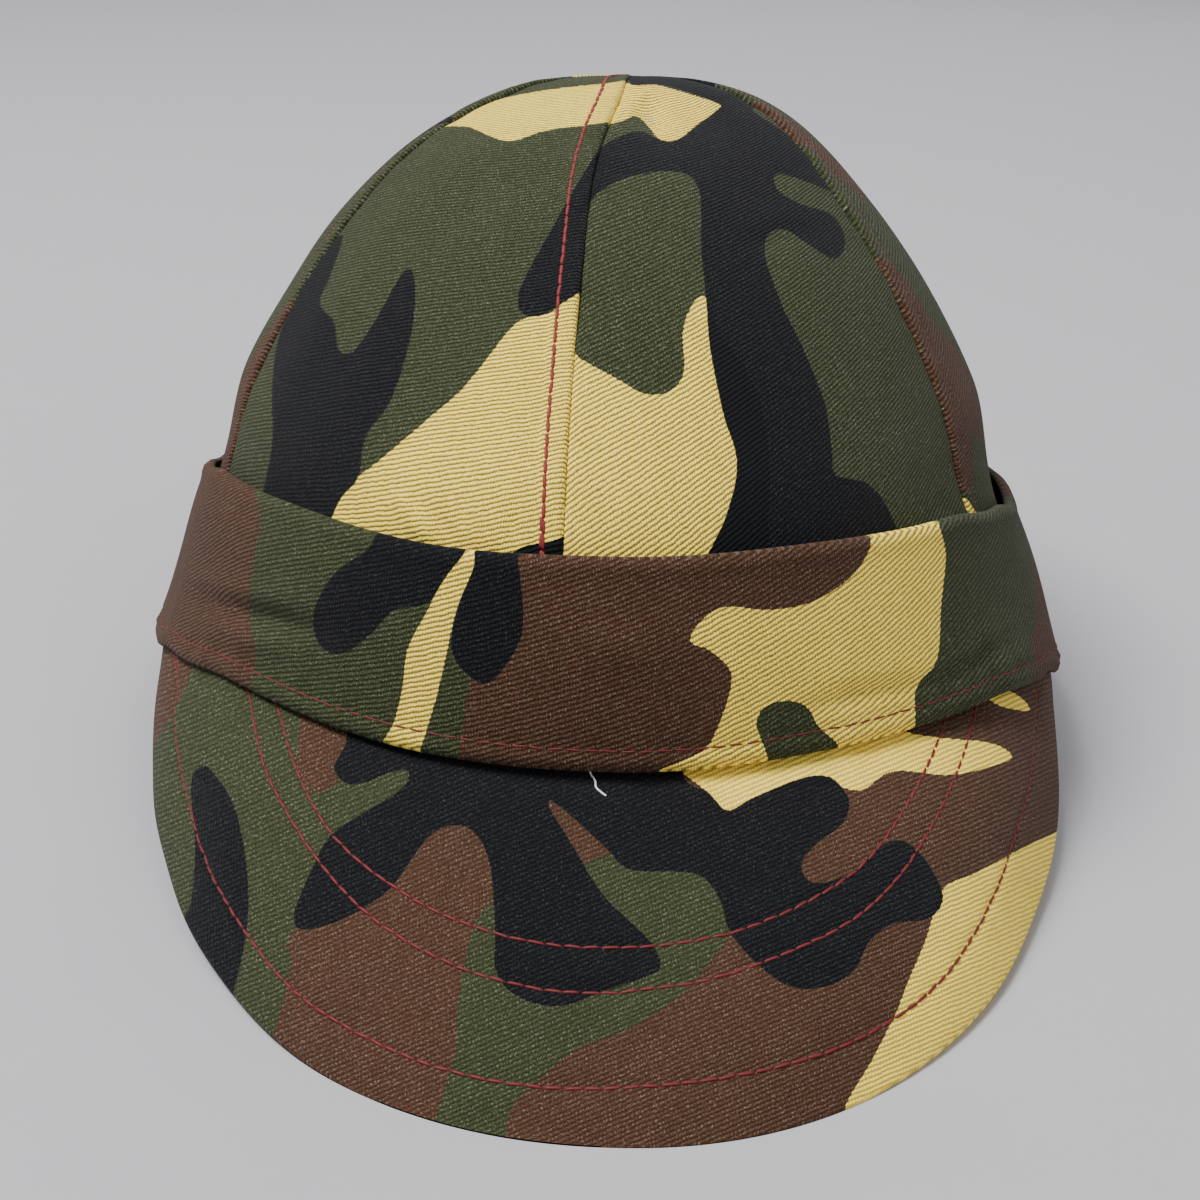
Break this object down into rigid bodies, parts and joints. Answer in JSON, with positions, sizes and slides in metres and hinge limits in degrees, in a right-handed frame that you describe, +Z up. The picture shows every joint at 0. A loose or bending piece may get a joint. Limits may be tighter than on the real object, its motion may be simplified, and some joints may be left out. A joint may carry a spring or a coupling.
{
  "type": "welding cap",
  "caption": "Soft cloth welding cap: rounded paneled crown with raised seams, turned-up outside band and a drooping stitched bill, open below for the head.",
  "frame": {"origin": "bottom centre of the bounding box, on the surface the cap rests on", "axes": "+Z up, the bill points along -Y, +X is the side seen on the right in the picture"},
  "size_m": [0.1712, 0.2556, 0.1132],
  "materials": {
    "crown_cloth": "camouflage cotton twill, matte",
    "band_cloth": "camouflage cotton twill, doubled, matte",
    "bill_cloth": "camouflage cotton twill, stitched in layers, matte"
  },
  "bodies": {
    "root": {"panel_front_left": "crown_cloth", "panel_front_right": "crown_cloth", "panel_side_left": "crown_cloth", "panel_side_right": "crown_cloth", "panel_back_left": "crown_cloth", "panel_back_right": "crown_cloth", "band": "band_cloth", "bill": "bill_cloth"}
  },
  "joints": []
}
